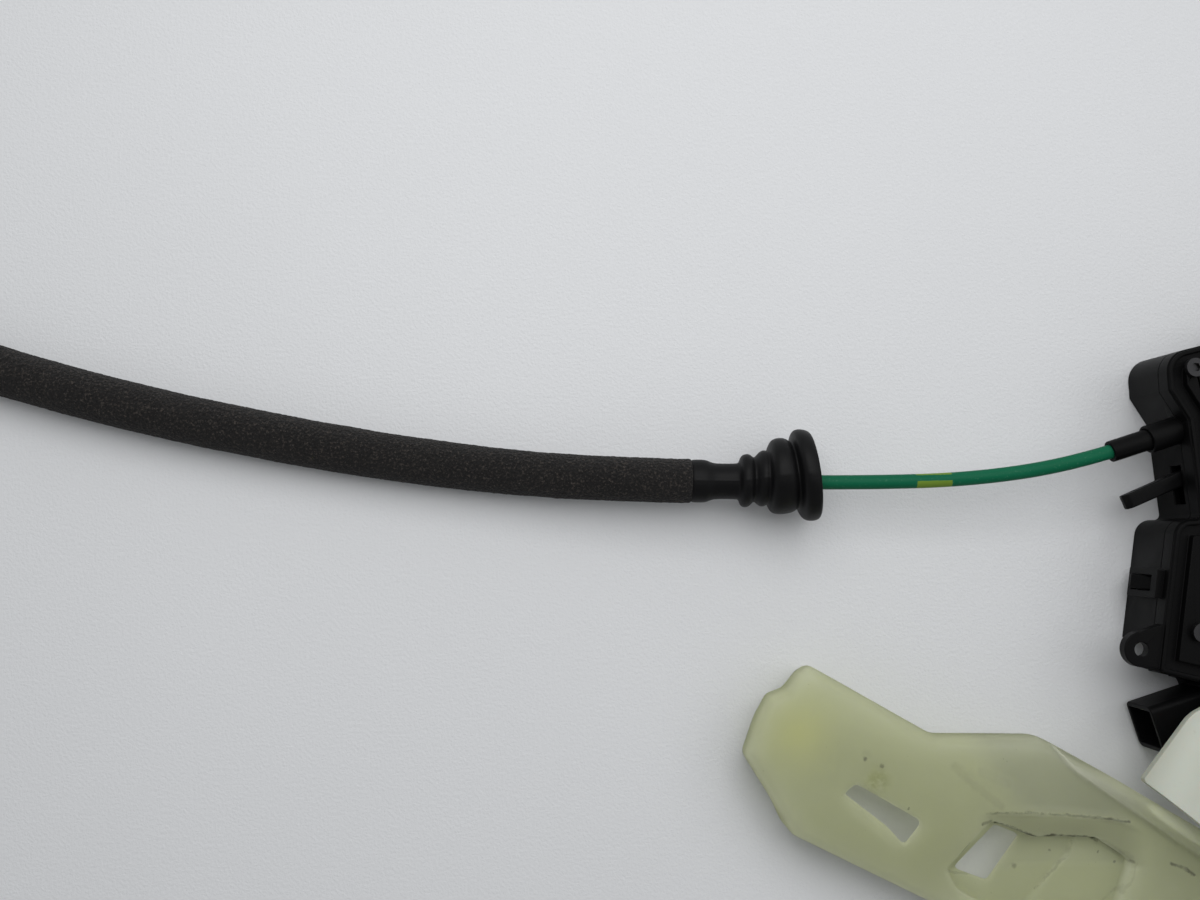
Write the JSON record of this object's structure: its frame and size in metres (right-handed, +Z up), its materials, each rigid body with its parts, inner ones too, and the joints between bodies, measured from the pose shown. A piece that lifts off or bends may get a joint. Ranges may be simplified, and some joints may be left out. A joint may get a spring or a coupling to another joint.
{
  "type": "door latch actuator",
  "caption": "Car side door latch with an electric lock actuator, a sleeved release cable with a rubber grommet, and a plastic guard.",
  "frame": {"origin": "middle of the footprint of the latch, actuator and guard, without the cable, on the surface it lies on", "axes": "+X out of the latch face towards the door's shut edge, +Y across the actuator away from the guard, +Z up"},
  "size_m": [0.6518, 0.2984, 0.0755],
  "materials": {
    "zinc_steel": "satin zinc plating",
    "pin_steel": "machined",
    "spring_steel": "oiled wire",
    "bolt_steel": "plastic-coated steel, satin",
    "screw_steel": "zinc plated",
    "motor_steel": "drawn steel",
    "contact_brass": "stamped",
    "black_plastic": "fine moulded grain",
    "gear_plastic": "moulded",
    "lever_plastic": "moulded",
    "cream_plastic": "translucent, worn",
    "white_plastic": "satin",
    "clip_plastic": "moulded",
    "conduit_plastic": "extruded, soft sheen",
    "soft_rubber": "moulded",
    "foam": "open-cell foam, fuzzy"
  },
  "bodies": {
    "latch": {"latch_plate": "zinc_steel", "back_plate": "zinc_steel", "fork_pivot": "pin_steel", "pawl_pivot": "pin_steel", "key_lever_pin": "pin_steel", "wheel_axle": "pin_steel", "lock_lever_pin": "pin_steel", "inside_lever_pin": "pin_steel", "fork_spring": "spring_steel", "pawl_spring": "spring_steel", "inside_lever_spring": "spring_steel", "lock_detent_spring": "spring_steel", "cover_screws": "screw_steel", "case_to_latch_screws": "screw_steel", "guard_screws": "screw_steel", "motor_can": "motor_steel", "motor_contacts": "contact_brass", "connector_pins": "contact_brass", "latch_body": "black_plastic", "latch_switch": "black_plastic", "actuator_case": "black_plastic", "actuator_cover": "black_plastic", "motor_end_cap": "black_plastic", "case_end_ferrule": "black_plastic", "handle_end_ferrule": "black_plastic", "guard": "cream_plastic", "guard_arm": "white_plastic", "cable_conduit": "conduit_plastic", "foam_sleeve": "foam", "grommet": "soft_rubber", "plate_seal": "soft_rubber", "cover_seal": "soft_rubber", "connector_seal": "soft_rubber", "overslam_bumper": "soft_rubber", "lever_stop": "soft_rubber"},
    "fork_bolt": {"fork_bolt": "bolt_steel"},
    "outside_lever": {"outside_lever": "zinc_steel", "rod_clip": "clip_plastic"},
    "pawl": {"pawl": "bolt_steel"},
    "key_lever": {"key_lever": "zinc_steel"},
    "inside_lever": {"inside_lever": "zinc_steel"},
    "wire_latch_end": {"wire_latch_end": "pin_steel"},
    "wire_handle_end": {"wire_handle_end": "pin_steel"},
    "lock_lever": {"lock_lever": "lever_plastic"},
    "worm_wheel": {"worm_wheel": "gear_plastic"},
    "drive_worm": {"drive_worm": "pin_steel"}
  },
  "joints": [
    {"name": "fork_bolt_turn", "type": "hinge", "parent": "latch", "child": "fork_bolt", "pos_m": [0.10663, 0.04879, 0.03], "axis": [-1, 0, 0], "range_deg": [0, 60], "stiffness_Nm_per_rad": 0.1, "springref_deg": -34.38},
    {"name": "outside_lever_turn", "type": "hinge", "parent": "latch", "child": "outside_lever", "pos_m": [0.08663, 0.08679, 0.016], "axis": [1, 0, 0], "range_deg": [0, 10], "stiffness_Nm_per_rad": 0.3, "springref_deg": -22.92},
    {"name": "pawl_turn", "type": "hinge", "parent": "latch", "child": "pawl", "pos_m": [0.10663, 0.08679, 0.016], "axis": [1, 0, 0], "range_deg": [0, 10]},
    {"name": "key_lever_turn", "type": "hinge", "parent": "latch", "child": "key_lever", "pos_m": [0.08663, 0.03779, 0.049], "axis": [1, 0, 0], "range_deg": [-20, 20]},
    {"name": "inside_lever_turn", "type": "hinge", "parent": "latch", "child": "inside_lever", "pos_m": [0.04927, 0.09646, 0.015], "axis": [0, 0, -1], "range_deg": [0, 40], "stiffness_Nm_per_rad": 0.02, "springref_deg": -22.92},
    {"name": "wire_latch_end_slide", "type": "slide", "parent": "latch", "child": "wire_latch_end", "axis": [-0.9521, -0.3057, 0], "range_m": [0, 0.01312]},
    {"name": "wire_handle_end_slide", "type": "slide", "parent": "latch", "child": "wire_handle_end", "axis": [-0.8427, 0.5384, 0], "range_m": [0, 0.01312]},
    {"name": "drive_worm_spin", "type": "hinge", "parent": "latch", "child": "drive_worm", "pos_m": [0.06833, 0.03479, 0.013], "axis": [0, 1, 0], "range_deg": [0, 1800]},
    {"name": "worm_wheel_turn", "type": "hinge", "parent": "latch", "child": "worm_wheel", "pos_m": [0.05048, 0.02579, 0.009], "axis": [0, 0, -1], "range_deg": [0, 60.01]},
    {"name": "lock_lever_turn", "type": "hinge", "parent": "latch", "child": "lock_lever", "pos_m": [0.04893, 0.06049, 0.014], "axis": [0, 0, 1], "range_deg": [0, 14.63]}
  ],
  "couplings": [
    {"joint": "pawl_turn", "follows": "outside_lever_turn", "ratio": 1},
    {"joint": "wire_latch_end_slide", "follows": "inside_lever_turn", "m_per_rad": 0.018769},
    {"joint": "wire_handle_end_slide", "follows": "inside_lever_turn", "m_per_rad": 0.018769},
    {"joint": "worm_wheel_turn", "follows": "drive_worm_spin", "ratio": 0.033333},
    {"joint": "lock_lever_turn", "follows": "drive_worm_spin", "ratio": 0.00812}
  ]
}
